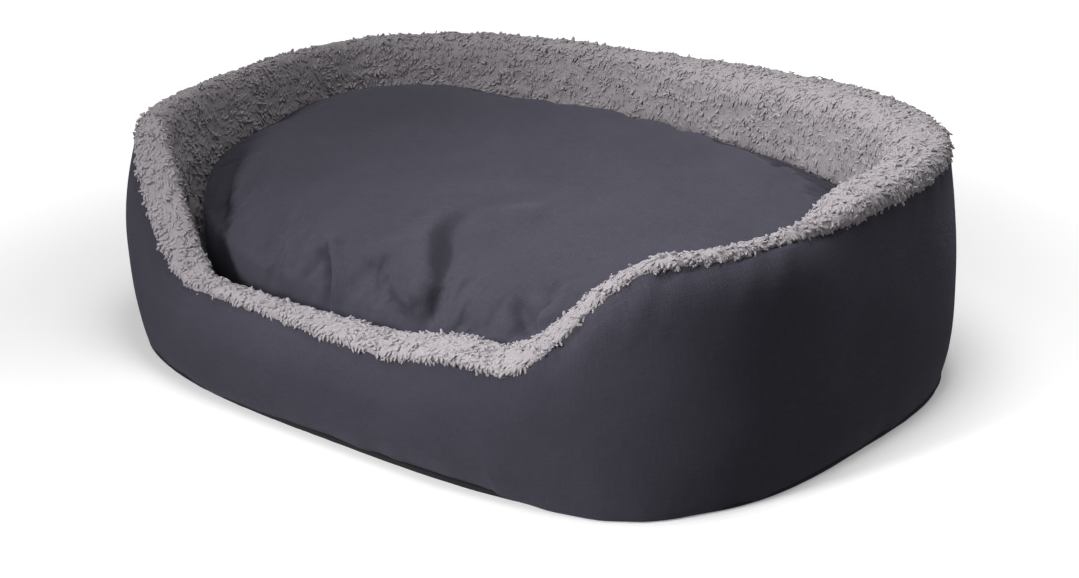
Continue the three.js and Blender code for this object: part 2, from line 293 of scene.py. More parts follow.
def grid_faces(rows, columns, closed=False):
    """Quads between rows of points; closed joins each row's last point to its first."""
    row = np.arange(rows - 1)[:, None]
    column = np.arange(columns if closed else columns - 1)[None, :]
    here = row * columns + column
    beside = row * columns + (column + 1) % columns
    return np.stack([here, beside, beside + columns, here + columns], axis=-1).reshape(-1, 4)


def copies(points, quads, triangles):
    """The points and faces of many alike shapes, from every shape's points and one shape's faces."""
    first = (np.arange(len(points)) * points.shape[1])[:, None, None]
    quads = (np.asarray(quads)[None] + first).reshape(-1, 4)
    return points, quads, (np.asarray(triangles)[None] + first).reshape(-1, 3)


def mesh_piece(name, points, quads=(), triangles=(), material=None):
    """A smooth mesh object from an array of points and arrays of corner numbers."""
    quads = np.asarray(quads, np.int32).reshape(-1, 4)
    triangles = np.asarray(triangles, np.int32).reshape(-1, 3)
    corners = np.concatenate([quads.ravel(), triangles.ravel()])
    sizes = np.concatenate([np.full(len(quads), 4), np.full(len(triangles), 3)])
    starts = np.concatenate([[0], np.cumsum(sizes)[:-1]]).astype(np.int32)
    mesh = bpy.data.meshes.new(name)
    points = np.asarray(points, np.float32).reshape(-1, 3)
    mesh.vertices.add(len(points))
    mesh.vertices.foreach_set("co", points.ravel())
    mesh.loops.add(len(corners))
    mesh.loops.foreach_set("vertex_index", corners)
    mesh.polygons.add(len(sizes))
    mesh.polygons.foreach_set("loop_start", starts)
    mesh.update(calc_edges=True)
    mesh.validate()
    mesh.shade_smooth()
    piece = bpy.data.objects.new(name, mesh)
    bpy.context.scene.collection.objects.link(piece)
    if material:
        mesh.materials.append(material)
    return piece


def set_weave(piece, coordinates, wrap=None):
    """The cloth's own coordinates, in metres, for its weave. wrap is a closed ring's length."""
    mesh = piece.data
    corner = np.zeros(len(mesh.loops), np.int32)
    mesh.loops.foreach_get("vertex_index", corner)
    placed = np.asarray(coordinates, np.float32).reshape(-1, 2)[corner]
    if wrap:
        size = np.zeros(len(mesh.polygons), np.int32)
        mesh.polygons.foreach_get("loop_total", size)
        face = np.repeat(np.arange(len(size)), size)
        furthest = np.zeros(len(size), np.float32)
        np.maximum.at(furthest, face, placed[:, 0])
        placed[:, 0] += wrap * (furthest[face] - placed[:, 0] > wrap / 2)
    layer = mesh.uv_layers.new(name="weave")
    layer.data.foreach_set("uv", placed.ravel())


def set_value(piece, name, values):
    attribute = piece.data.attributes.new(name, "FLOAT", "POINT")
    attribute.data.foreach_set("value", np.asarray(values, np.float32).ravel())


def thicken(piece, thickness, offset=-1.0):
    solidify = piece.modifiers.new("thickness", "SOLIDIFY")
    solidify.thickness = thickness
    solidify.offset = offset


def cloth_piece(name, points, faces, material, flat, thickness, wrap=None, offset=-1.0):
    """A piece of cloth with a thickness. flat says where each point lies on the cloth."""
    piece = mesh_piece(name, points, faces, (), material)
    set_weave(piece, flat, wrap)
    thicken(piece, thickness, offset)
    return piece


def grid_normals(points, closed):
    """The normal at each point of a (rows, columns, 3) grid, facing the way that grid_faces does."""
    if closed:
        along = np.roll(points, -1, axis=1) - np.roll(points, 1, axis=1)
    else:
        along = np.gradient(points, axis=1)
    up = np.gradient(points, axis=0)
    return unit(np.cross(along, up))


def finish_piece(piece, body, slot, *nodes):
    """Rides on its body and hides the CAD nodes that it takes the place of. Its slot is not used."""
    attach(piece, body)
    if nodes:
        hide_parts(*nodes)
    return piece


def beads(name, centres, directions, ups, size, material):
    """Stitches or other small rounded bars in one mesh, each with its length along its direction."""
    profile = np.array([(-0.5, 0.45), (-0.32, 0.95), (0.0, 1.0), (0.32, 0.95), (0.5, 0.45)])
    sides = 6
    turn = np.arange(sides) * TAU / sides
    shares, fat = profile.T
    length, width, height = size
    across = unit(np.cross(ups, directions))
    lifted = unit(np.cross(directions, across))
    points = (
        centres[:, None, None, :]
        + directions[:, None, None, :] * (shares * length)[None, :, None, None]
        + across[:, None, None, :] * (fat[:, None] * np.cos(turn) * width / 2)[None, :, :, None]
        + lifted[:, None, None, :] * (fat[:, None] * np.sin(turn) * height / 2)[None, :, :, None]
    ).reshape(len(centres), -1, 3)
    last = points.shape[1] - sides
    caps = [[0, k + 2, k + 1] for k in range(4)] + [[last, last + 1 + k, last + 2 + k] for k in range(4)]
    quads = grid_faces(len(profile), sides, closed=True)
    return mesh_piece(name, *copies(points, quads, caps), material)


# ---- Materials ----


def new_material(name, roughness, specular=0.3, sheen=0.0, metallic=0.0):
    material = bpy.data.materials.new(name)
    material.use_nodes = True
    shader = material.node_tree.nodes["Principled BSDF"]
    shader.inputs["Roughness"].default_value = roughness
    shader.inputs["Specular IOR Level"].default_value = specular
    shader.inputs["Metallic"].default_value = metallic
    shader.inputs["Sheen Weight"].default_value = sheen
    shader.inputs["Sheen Roughness"].default_value = 0.30
    return material


def add_node(material, kind, inputs=None, **settings):
    made = material.node_tree.nodes.new(kind)
    for key, value in settings.items():
        setattr(made, key, value)
    for key, value in (inputs or {}).items():
        if isinstance(value, bpy.types.NodeSocket):
            material.node_tree.links.new(value, made.inputs[key])
        else:
            made.inputs[key].default_value = value
    return made


def math_node(material, operation, first, second=0.5, third=0.5):
    inputs = {0: first, 1: second, 2: third}
    return add_node(material, "ShaderNodeMath", inputs, operation=operation).outputs[0]


def add_up(material, *values):
    total = values[0]
    for value in values[1:]:
        total = math_node(material, "ADD", total, value)
    return total


def noise_node(material, vector, scale, detail=2.0, roughness=0.5):
    inputs = {"Vector": vector, "Scale": scale, "Detail": detail, "Roughness": roughness}
    return add_node(material, "ShaderNodeTexNoise", inputs).outputs["Fac"]


def mix_colour(material, factor, first, second):
    inputs = {0: factor, 6: first, 7: second}
    return add_node(material, "ShaderNodeMix", inputs, data_type="RGBA").outputs[2]


def spread(material, value, low, high):
    """value from 0 to 1, carried to the range from low to high."""
    made = add_node(material, "ShaderNodeMapRange", {"Value": value, "To Min": low, "To Max": high})
    return made.outputs[0]


def connect(material, socket_name, source):
    shader = material.node_tree.nodes["Principled BSDF"]
    material.node_tree.links.new(source, shader.inputs[socket_name])


def paint(material, factor, dark, light):
    """The base colour, from dark to light with the factor."""
    connect(material, "Base Color", mix_colour(material, factor, (*dark, 1), (*light, 1)))


def add_bump(material, height, distance):
    made = add_node(material, "ShaderNodeBump", {"Height": height, "Distance": distance, "Strength": 1.0})
    connect(material, "Normal", made.outputs[0])


def weave_vector(material):
    return add_node(material, "ShaderNodeUVMap", uv_map="weave").outputs[0]


def object_vector(material):
    return add_node(material, "ShaderNodeTexCoord").outputs["Object"]


def stretched(material, vector, scale):
    return add_node(material, "ShaderNodeMapping", {"Vector": vector, "Scale": scale}).outputs[0]


def woven_material(name, dark, light, pitch, sheen=0.14, depth=0.00025):
    """A plain weave of yarns with the given pitch, with slubs and a heathered tone."""
    material = new_material(name, roughness=0.86, specular=0.12, sheen=sheen)
    shader = material.node_tree.nodes["Principled BSDF"]
    shader.inputs["Sheen Tint"].default_value = (0.80, 0.78, 1.0, 1)
    vector = weave_vector(material)
    parts = add_node(material, "ShaderNodeSeparateXYZ", {0: vector})
    wobble = noise_node(material, vector, 420.0, 2.0, 0.6)
    wobble = spread(material, wobble, -3.2, 3.2)
    waves = []
    for axis in ("X", "Y"):
        phase = math_node(material, "MULTIPLY_ADD", parts.outputs[axis], math.pi / pitch, wobble)
        waves.append(math_node(material, "COSINE", phase, 0.0))
    crossing = math_node(material, "MULTIPLY", waves[0], waves[1])
    crossing = spread(material, math_node(material, "MULTIPLY_ADD", crossing, 0.5), 0.0, 1.0)
    warp = noise_node(material, stretched(material, vector, (1 / pitch, 60.0, 1.0)), 1.0, 2.0)
    weft = noise_node(material, stretched(material, vector, (60.0, 1 / pitch, 1.0)), 1.0, 2.0)
    yarn = mix_colour(material, crossing, colour_of(material, warp), colour_of(material, weft))
    cloud = noise_node(material, vector, 14.0, 3.0)
    tone = math_node(material, "MULTIPLY_ADD", yarn, 0.95, 0.1)
    tone = add_up(material, tone, spread(material, cloud, -0.16, 0.16), spread(material, crossing, -0.1, 0.1))
    paint(material, tone, dark, light)
    height = add_up(material, crossing, math_node(material, "MULTIPLY", yarn, 0.8))
    add_bump(material, height, depth)
    connect(material, "Roughness", spread(material, yarn, 0.8, 0.95))
    return material


def colour_of(material, value):
    """A grey colour socket from a number socket."""
    made = add_node(material, "ShaderNodeCombineColor", {0: value, 1: value, 2: value})
    return made.outputs[0]


def fleece_material():
    """Curly pile with painted shade: dark at the tufts' roots and in the backing's hollows, where the pile
    shades itself, and light at the tips and on the lumps; each tuft with its own tone.
    """
    material = new_material("fleece_pile", roughness=0.95, specular=0.08, sheen=0.35)
    tip = add_node(material, "ShaderNodeAttribute", attribute_name="tip").outputs["Fac"]
    tone = add_node(material, "ShaderNodeAttribute", attribute_name="tone").outputs["Fac"]
    vector = object_vector(material)
    speck = noise_node(material, vector, 900.0, 2.0)
    cloud = noise_node(material, vector, 22.0, 2.0)
    # The tip value is painted shade: low at the roots and in the hollows, high at the tips and on the lumps.
    # Tone, speck and cloud vary it at random.
    share = add_up(material, tip, spread(material, tone, -0.16, 0.16))
    share = add_up(material, share, spread(material, speck, -0.18, 0.18))
    share = add_up(material, share, spread(material, cloud, -0.08, 0.08))
    paint(material, share, (0.285, 0.262, 0.278), (0.398, 0.368, 0.391))
    fibres = noise_node(material, stretched(material, vector, (1.0, 1.0, 0.35)), 1500.0, 2.0)
    add_bump(material, fibres, 0.0006)
    return material


def foam_material():
    material = new_material("open_cell_foam", roughness=0.95, specular=0.1)
    vector = object_vector(material)
    cells = add_node(material, "ShaderNodeTexVoronoi", {"Vector": vector, "Scale": 620.0}).outputs["Distance"]
    cloud = noise_node(material, vector, 30.0, 3.0)
    tone = add_up(material, cells, spread(material, cloud, -0.1, 0.25))
    paint(material, tone, (0.52, 0.47, 0.34), (0.78, 0.74, 0.62))
    add_bump(material, cells, 0.0008)
    return material


def rubbery_material():
    """The non-slip base: black cloth with a slightly glossy coat."""
    material = new_material("nonslip_cloth", roughness=0.7, specular=0.35)
    vector = object_vector(material)
    grain = noise_node(material, vector, 1400.0, 2.0)
    cloud = noise_node(material, vector, 25.0, 2.0)
    tone = add_up(material, spread(material, grain, 0.0, 0.8), spread(material, cloud, -0.2, 0.2))
    paint(material, tone, (0.006, 0.006, 0.007), (0.017, 0.017, 0.019))
    connect(material, "Roughness", spread(material, grain, 0.6, 0.85))
    add_bump(material, grain, 0.0003)
    return material


def grosgrain_material(name, dark, light):
    """A narrow ribbed tape: ribs across its length."""
    material = new_material(name, roughness=0.8, specular=0.25, sheen=0.1)
    vector = weave_vector(material)
    parts = add_node(material, "ShaderNodeSeparateXYZ", {0: vector})
    pitch = 0.0008
    rib = math_node(material, "SINE", math_node(material, "MULTIPLY", parts.outputs["X"], TAU / pitch), 0.0)
    rib = math_node(material, "MULTIPLY_ADD", rib)
    grain = noise_node(material, vector, 1800.0, 2.0)
    tone = add_up(material, math_node(material, "MULTIPLY", rib, 0.6), spread(material, grain, -0.2, 0.5))
    paint(material, tone, dark, light)
    add_bump(material, add_up(material, rib, grain), 0.0002)
    return material


def nylon_material():
    material = new_material("nylon_coil", roughness=0.4, specular=0.5)
    grain = noise_node(material, object_vector(material), 2500.0, 2.0)
    paint(material, grain, (0.008, 0.008, 0.009), (0.022, 0.022, 0.025))
    connect(material, "Roughness", spread(material, grain, 0.32, 0.5))
    return material


def thread_material():
    material = new_material("dark_thread", roughness=0.6, specular=0.3)
    twist = noise_node(material, object_vector(material), 3000.0, 1.0)
    paint(material, twist, (0.018, 0.018, 0.0216), (0.030, 0.030, 0.036))
    add_bump(material, twist, 0.0001)
    return material


def metal_material():
    """Zinc plate with fine wear."""
    material = new_material("plated_metal", roughness=0.35, specular=0.5, metallic=1.0)
    vector = object_vector(material)
    wear = noise_node(material, vector, 700.0, 4.0, 0.7)
    smear = noise_node(material, stretched(material, vector, (1.0, 8.0, 1.0)), 120.0, 2.0)
    paint(material, smear, (0.30, 0.30, 0.31), (0.56, 0.56, 0.58))
    connect(material, "Roughness", spread(material, wear, 0.24, 0.5))
    add_bump(material, wear, 0.00004)
    return material


def wadding_material():
    """The white inner bag of the cushion's filling."""
    material = new_material("filling_bag", roughness=0.95, specular=0.1, sheen=0.2)
    vector = object_vector(material)
    fibres = noise_node(material, stretched(material, vector, (1.0, 3.0, 2.0)), 260.0, 4.0, 0.7)
    paint(material, fibres, (0.62, 0.62, 0.60), (0.82, 0.82, 0.80))
    add_bump(material, fibres, 0.0008)
    return material


cover_cloth = woven_material("cover_cloth", (0.018, 0.0172, 0.025), (0.072, 0.068, 0.090), 0.00105)
cushion_cloth = woven_material("cushion_cloth", (0.021, 0.0205, 0.028), (0.072, 0.070, 0.092), 0.00105)
lining_cloth = woven_material("lining_cloth", (0.024, 0.024, 0.030), (0.078, 0.076, 0.092), 0.0009, sheen=0.1)
fleece_pile = fleece_material()
foam = foam_material()
nonslip = rubbery_material()
binding_tape = grosgrain_material("binding_tape", (0.006, 0.006, 0.007), (0.020, 0.020, 0.022))
zip_tape_cloth = grosgrain_material("zip_tape_cloth", (0.010, 0.010, 0.012), (0.034, 0.034, 0.040))
nylon = nylon_material()
dark_thread = thread_material()
metal = metal_material()
wadding = wadding_material()

# ---- Outer cover ----


def cover_relief(length_along, height_below, height_above, points, pressed):
    """How far the cloth stands out: puckers at its two seams and slow waves between them."""
    along = xyz(length_along, 0 * length_along, 0)[..., :2]
    lean = xyz(length_along + height_below * 0.5, 0, 0)[..., :2]
    slow = ripples(points, (0.0022, 0.11, 3), (0.0008, 0.045, 4))
    slow *= smoothstep(height_below, 0.0, 0.03) * smoothstep(height_above, 0.0, 0.03)
    rim = ripples(lean, (0.0007, 0.011, 5), (0.0008, 0.026, 6))
    rim *= np.exp(-height_below / 0.016) * (0.55 + 0.45 * lattice(along, 0.09, 7))
    foot = ripples(along, (0.0008, 0.019, 8), (0.0009, 0.047, 9)) * np.exp(-height_above / 0.022)
    gathered = ripples(lean, (0.0036, 0.030, 10), (0.0012, 0.014, 11))
    gathered *= np.exp(-height_below / 0.020) * smoothstep(height_below, 0.0, 0.004)
    return slow + rim + foot + gathered * pressed


def make_outer_cover():
    columns, rows = 720, 64
    angle, length = even_angles(columns)
    along = np.arange(columns) * length / columns
    share = 0.5 - 0.5 * np.cos(np.linspace(0, math.pi, rows))
    share = lerp(share, np.linspace(0, 1, rows), 0.45)[:, None]
    top = seam_height(angle)
    hem = hem_height(angle)
    z = lerp(hem, top, share)
    points = at_inset(angle, wall_inset(angle, share), z)
    x, y = points[..., 0], points[..., 1]
    pleat = bump(x, HEM_PLEAT_X, 0.0035) * np.exp(-z / 0.012) * (y < 0)
    relief = cover_relief(np.broadcast_to(along, z.shape), top - z, z - hem, points, slump(angle))
    points += grid_normals(points, closed=True) * relief[..., None]
    points[..., 1] += 0.003 * pleat
    under = [(0.010, 0.0006), (0.005, 0.0), (0.0012, 0.0)]
    over = [(0.0012, 0.0006), (0.004, 0.0008), (0.009, -0.001)]
    tucked = [at_inset(angle, FOOT_INSET + depth, hem - 0.0004 + lift) for depth, lift in under]
    closing = [at_inset(angle, seam_inset(angle) + depth, top + lift) for depth, lift in over]
    points = np.concatenate([tucked, points, closing])
    faces = grid_faces(len(points), columns, closed=True)
    steps = np.linalg.norm(np.diff(points, axis=0), axis=-1).mean(axis=1)
    up = np.concatenate([[0], np.cumsum(steps)])
    flat = xyz(along, up[:, None], 0)[..., :2]
    cover = cloth_piece("outer_cover_cloth", points, faces, cover_cloth, flat, COVER_THICKNESS, length)
    finish_piece(cover, "bed", "cover_fabric", "outer_cover")


# ---- Fleece ----

SLUMPED_SECTION = [  # the same where the rim is pressed down inwards, to the right of the entrance
    (0.10, -0.55),
    (0.01, -0.30),
    (-0.02, 0.00),
    (-0.01, 0.28),
    (0.04, 0.48),
    (0.11, 0.58),
    (0.20, 0.54),
    (0.32, 0.30),
    (0.48, -0.25),
    (0.66, -1.00),
    (0.84, -1.95),
    (1.0, -3.1),
]
RIM_SECTION = [  # share of the rim's width, share of the crown's height
    (0.12, -0.55),
    (0.02, -0.30),
    (-0.02, 0.05),
    (-0.01, 0.45),
    (0.05, 0.78),
    (0.17, 0.95),
    (0.36, 1.0),
    (0.56, 0.97),
    (0.74, 0.80),
    (0.88, 0.45),
    (0.97, -0.15),
    (1.0, -0.9),
]


def smooth_line(points, count):
    """Evenly spaced points on a Catmull-Rom curve through the given ones."""
    points = np.asarray(points, float)
    padded = np.concatenate([[2 * points[0] - points[1]], points, [2 * points[-1] - points[-2]]])
    fine = []
    for k in range(len(points) - 1):
        p0, p1, p2, p3 = padded[k : k + 4]
        t = np.linspace(0, 1, 12, endpoint=False)[:, None]
        curve = 2 * p1 + (p2 - p0) * t
        curve += (2 * p0 - 5 * p1 + 4 * p2 - p3) * t**2
        curve += (3 * p1 - p0 - 3 * p2 + p3) * t**3
        fine.append(0.5 * curve)
    fine = np.concatenate([*fine, points[-1:]])
    travelled = np.concatenate([[0], np.cumsum(np.linalg.norm(np.diff(fine, axis=0), axis=1))])
    wanted = np.linspace(0, travelled[-1], count)
    return np.stack([np.interp(wanted, travelled, fine[:, k]) for k in range(fine.shape[1])], axis=-1)


def crown_height(angle):
    y = outline(angle, 0)[1]
    return lerp(CROWN_FRONT, CROWN_BACK, smoothstep(y, -0.2, 0.06))


def fleece_grid():
    """Points of the fleece's backing: rows from the outer seam over the rim and down into the well."""
    angle = even_angles(FLEECE_COLUMNS)[0]
    top = seam_height(angle)
    outer = seam_inset(angle)
    inner = well_inset(angle)
    crown = crown_height(angle)
    pressed = slump(angle)
    rim, slumped = (
        smooth_line(np.array(section) * (4.0, 1.0), RIM_ROWS) / (4.0, 1.0)
        for section in (RIM_SECTION, SLUMPED_SECTION)
    )
    rows = []
    for upright, fallen in zip(rim, slumped):
        across, up = (lerp(upright[k], fallen[k], pressed) for k in (0, 1))
        rows.append(at_inset(angle, lerp(outer, inner, across), top + crown * up))
    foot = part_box("floor_lining")[1].z
    start = rows[-1][:, 2]
    for k in range(1, INNER_ROWS + 1):
        share = k / INNER_ROWS
        rows.append(at_inset(angle, inner + WELL_FOOT_LEAN * share, lerp(start, foot, share)))
    return np.array(rows)


def fleece_backing(points):
    """The cloth that the tufts are in, and its points with their lumps."""
    lumps = ripples(points, (0.0008, 0.0065, 21), (0.0010, 0.024, 22))
    raised = points + grid_normals(points, closed=True) * lumps[..., None]
    faces = grid_faces(*points.shape[:2], closed=True)
    backing = mesh_piece("fleece_backing", raised, faces, (), fleece_pile)
    # Painted shade: the tip value makes the backing darker in the hollows between its lumps and lighter on
    # them.
    set_value(backing, "tip", 0.5 + 0.3 * np.clip(lumps / 0.002, -0.8, 1))
    set_value(backing, "tone", np.full(points.shape[:2], 0.5))
    return backing, raised


def scatter(points, spacing, seed):
    """Jittered places on a grid surface, about one for each square of the spacing, with normals and rows."""
    random = np.random.default_rng(seed)
    normals = grid_normals(points, closed=True)
    across = np.linalg.norm(np.roll(points, -1, axis=1) - points, axis=-1)
    down = np.linalg.norm(np.diff(points, axis=0), axis=-1)
    wanted = (across[:-1] * down / (spacing * spacing)).ravel()
    # Each cell carries what its row hasn't placed yet on to the next, so that the places come out even.
    running = np.cumsum(wanted) + random.random()
    counts = np.floor(running) - np.floor(running - wanted)
    index = np.repeat(np.arange(wanted.size), counts.astype(int))
    row, column = np.divmod(index, points.shape[1])
    s, t = random.random(len(index)), random.random(len(index))
    beside = (column + 1) % points.shape[1]

    def at(grid):
        low = lerp(grid[row, column], grid[row, beside], s[:, None])
        high = lerp(grid[row + 1, column], grid[row + 1, beside], s[:, None])
        return lerp(low, high, t[:, None])

    return at(points), unit(at(normals)), row


def across_surface(vectors, normals, share=1.0):
    """The vectors less this share of their part along the normals."""
    return vectors - normals * np.sum(vectors * normals, axis=1, keepdims=True) * share


def tuft_mesh(name, roots, normals, seed):
    """Curled flattened tufts in one mesh: three rings of corners and a tip each."""
    random = np.random.default_rng(seed)
    count = len(roots)
    hang = across_surface(np.array([[0.0, 0.0, -1.0]]), normals)
    drift = np.stack([lattice(roots, 0.011, seed + k) for k in range(3)], axis=-1)
    drift = across_surface(drift, normals)
    stray = across_surface(random.normal(0, 0.22, (count, 3)), normals, 0.75)
    direction = unit(normals * 0.13 + hang * 0.5 + drift * 0.9 + stray)
    bend = unit(hang * 0.5 + drift * 0.9 - normals * 0.1 + stray * 2.0)
    length = random.uniform(*TUFT_LENGTH, count)[:, None]
    radius = random.uniform(*TUFT_RADIUS, count)[:, None]
    side = unit(np.cross(direction, normals + random.normal(0, 0.3, (count, 3))))
    other = np.cross(direction, side) * TUFT_FLATNESS
    steps = np.array([0.0, 0.45, 0.86, 1.0])
    fat = np.array([0.75, 1.0, 0.72])
    centres = (
        (roots - normals * TUFT_SUNK)[:, None]
        + direction[:, None] * (length * steps)[..., None]
        + bend[:, None] * (length * 0.5 * steps**2)[..., None]
    )
    turn = (np.arange(TUFT_SIDES) * TAU / TUFT_SIDES)[:, None]
    spokes = side[:, None] * np.cos(turn) + other[:, None] * np.sin(turn)
    rings = centres[:, :3, None] + spokes[:, None] * (radius * fat)[..., None, None]
    ringed = 3 * TUFT_SIDES
    points = np.concatenate([rings.reshape(count, ringed, 3), centres[:, 3:]], axis=1)
    last = np.arange(TUFT_SIDES) + ringed - TUFT_SIDES
    fan = np.stack([last, np.roll(last, -1), np.full(TUFT_SIDES, ringed)], axis=-1)
    faces = copies(points, grid_faces(3, TUFT_SIDES, closed=True), fan)
    piece = mesh_piece(name, *faces, fleece_pile)
    # Painted shade: the tip value darkens each tuft towards its root, where its neighbours shade it.
    tip = np.append(np.repeat([0.15, 0.65, 0.95], TUFT_SIDES), 1.0)
    set_value(piece, "tip", np.tile(tip, count))
    set_value(piece, "tone", np.repeat(random.random(count), ringed + 1))
    return piece


def make_fleece():
    """The backing and its tufts, which are sparse where the cushion covers them."""
    backing, points = fleece_backing(fleece_grid())
    places = []
    for spacing, seed, wanted in ((TUFT_SPACING, 31, True), (TUFT_SPACING_LOW, 32, False)):
        roots, normals, row = scatter(points, spacing, seed)
        seen = (roots[:, 2] > COVERED_BELOW) | (normals[:, 2] > 0.2) | (row < RIM_ROWS)
        places.append(np.concatenate([roots, normals], axis=1)[seen == wanted])
    roots, normals = np.split(np.concatenate(places), 2, axis=1)
    bearing = np.degrees(np.arctan2(roots[:, 1] / HALF_DEPTH, roots[:, 0] / HALF_LENGTH))
    quarter = np.floor((bearing + 45) / 90).astype(int) % 4
    tufts = []
    for k, name in enumerate(("right", "back", "left", "front")):
        piece = tuft_mesh(f"fleece_tufts_{name}", roots[quarter == k], normals[quarter == k], 40 + k)
        tufts.append(piece)
    finish_piece(backing, "bed", "fleece", "fleece_lining")
    for piece in tufts:
        finish_piece(piece, "bed", "fleece")


# ---- Wall filling ----


def make_wall_foam():
    """Four foam lengths that stand end to end inside the cover and the fleece."""
    for name, start, stop in (("right", -36, 36), ("back", 36, 144), ("left", 144, 216), ("front", 216, 324)):
        columns = (stop - start) * 2
        angle = np.radians(np.linspace(start + 0.15, stop - 0.15, columns))
        top = seam_height(angle)
        crown = crown_height(angle)
        inner = well_inset(angle) - FOAM_WELL_GAP
        fall = slump(angle)
        section = []
        for share in np.linspace(0, 1, 22):
            inset = wall_inset(angle, share) + FOAM_GAP + FOAM_FOOT * (1 - share) ** 6
            section.append((inset, lerp(FOAM_LOW, top - FOAM_TOP_GAP, share)))
        for across in np.linspace(0.12, 0.9, 14):
            up = math.sqrt(max(0.0, 1 - (2 * across - 1) ** 4))
            inset = lerp(seam_inset(angle) + FOAM_TOP_GAP, inner, across)
            sunk = 0.028 * max(0.0, across - 0.25) ** 1.2
            section.append((inset, top - FOAM_TOP_GAP + (crown - FOAM_TOP_GAP) * up - fall * sunk))
        for share in np.linspace(0, 1, 18):
            section.append((inner, lerp(top - lerp(0.012, 0.034, fall), FOAM_LOW, share)))
        grid = np.array([at_inset(angle, inset, z) for inset, z in section])
        grid += grid_normals(grid, closed=False) * (0.0006 * lattice(grid, 0.03, 51))[..., None]
        count = len(section)
        points = grid.reshape(-1, 3)
        first = np.arange(columns)
        last = first + (count - 1) * columns
        closing = np.stack([last[:-1], last[1:], first[1:], first[:-1]], axis=-1)
        quads = np.concatenate([grid_faces(count, columns), closing])
        ends = []
        for k, column in enumerate((0, columns - 1)):
            edge = np.arange(count) * columns + column
            fan = np.stack([edge, np.roll(edge, -1), np.full(count, len(points))], axis=-1)
            ends.append(fan[:, ::-1] if k else fan)
            points = np.concatenate([points, grid[:, column].mean(axis=0)[None]])
        piece = mesh_piece(f"wall_foam_{name}", points, quads, np.concatenate(ends), foam)
        finish_piece(piece, "bed", "foam", f"wall_filling_{name}")


# ---- Base and floor ----


def disc_grid(count, half_x, half_y, power):
    """A square grid bent to fill an outline, and each point's share of the way to the edge."""
    line = np.linspace(-1, 1, count)
    u, v = np.meshgrid(line, line)
    if not np.isscalar(half_x):
        half_x = np.where(u < 0, *half_x)
    share = np.maximum(np.abs(u), np.abs(v))
    angle = np.arctan2(v * half_y, u * half_x)
    x, y = superellipse(angle, half_x, half_y, power)
    return share * x, share * y, share, angle


def closed_slab(name, x, y, low, high, edge, material):
    """A flat soft piece between two heights; its edge rounds over where edge is below 1."""
    count = x.shape[0]
    size = count * count
    rounded = np.sqrt(np.clip(1 - (1 - np.clip(edge, 0, 1)) ** 2, 0, 1))
    middle = (low + high) / 2
    upper = xyz(x, y, middle + (high - middle) * rounded).reshape(-1, 3)
    lower = xyz(x, y, middle + (low - middle) * rounded).reshape(-1, 3)
    rim = rim_of(count)
    lower[rim, 2] = low
    rim_next = np.roll(rim, -1)
    wall = np.stack([rim, rim + size, rim_next + size, rim_next], axis=-1)
    faces = grid_faces(count, count)
    quads = np.concatenate([faces, faces[:, ::-1] + size, wall])
    points = np.concatenate([upper, lower])
    piece = mesh_piece(name, points, quads, (), material)
    set_weave(piece, points[:, :2])
    return piece


def rim_of(count):
    """Corner numbers round the edge of a square grid, counter-clockwise from above."""
    line = np.arange(count)
    bottom = line[:-1]
    right = line[:-1] * count + count - 1
    top = (count - 1) * count + line[:0:-1]
    left = line[:0:-1] * count
    return np.concatenate([bottom, right, top, left])


def make_floor():
    """The pad in the floor and the lining over it."""
    low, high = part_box("floor_pad")
    x, y, share = disc_grid(90, high.x, high.y, BACK_POWER)[:3]
    edge = (1 - share) * high.y / 0.004
    pad = closed_slab("floor_pad_foam", x, y, low.z, high.z, edge, foam)
    finish_piece(pad, "bed", "foam", "floor_pad")
    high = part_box("floor_lining")[1]
    count = 110
    x, y, share = disc_grid(count, high.x, high.y, BACK_POWER)[:3]
    points = xyz(x, y, high.z - 0.0004)
    points[..., 2] += 0.0004 * lattice(points[..., :2], 0.05, 61) * smoothstep(1 - share, 0, 0.15)
    faces = grid_faces(count, count)
    lining = cloth_piece("floor_lining_cloth", points, faces, lining_cloth, points[..., :2], 0.0006)
    finish_piece(lining, "bed", "cover_fabric", "floor_lining")


def make_base():
    """The non-slip sheet with its grip dots, and the binding round its edge."""
    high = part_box("nonslip_base")[1]
    count = 120
    x, y, share = disc_grid(count, high.x, high.y, 3.0)[:3]
    points = xyz(x, y, 0.0013)
    points[..., 2] += 0.00025 * lattice(points[..., :2], 0.04, 71) * (share < 0.97)
    faces = grid_faces(count, count)
    base = cloth_piece("nonslip_base_cloth", points, faces, nonslip, points[..., :2], 0.0008, offset=0.0)
    finish_piece(base, "bed", "base_fabric", "nonslip_base")
    dots = grip_dots(high)
    finish_piece(dots, "bed", "base_fabric")
    make_binding()


def grip_dots(high):
    """Low round dots under the base, in staggered rows."""
    pitch = 0.014
    radius = 0.0022
    xs = np.arange(-high.x, high.x, pitch)
    ys = np.arange(-high.y, high.y, pitch * 0.866)
    gx, gy = np.meshgrid(xs, ys)
    gx = gx + (np.arange(len(ys)) % 2)[:, None] * pitch / 2
    inside = (np.abs(gx) / (high.x - 0.02)) ** 3 + (np.abs(gy) / (high.y - 0.02)) ** 3 < 1
    centres = np.stack([gx[inside], gy[inside]], axis=-1)
    sides = 8
    turn = np.arange(sides) * TAU / sides
    rings = [(1.0, 0.0009), (0.85, 0.00035), (0.45, 0.0001)]
    rows = []
    for share, z in rings:
        x = centres[:, None, 0] + radius * share * np.cos(turn)
        y = centres[:, None, 1] - radius * share * np.sin(turn)
        rows.append(xyz(x, y, z))
    tip = xyz(centres[:, :1], centres[:, 1:], 0.00005)
    points = np.concatenate([*rows, tip], axis=1)
    last = (len(rings) - 1) * sides
    fan = [[last + k, last + (k + 1) % sides, last + sides] for k in range(sides)]
    faces = copies(points, grid_faces(len(rings), sides, closed=True), fan)
    return mesh_piece("nonslip_grip_dots", *faces, nonslip)


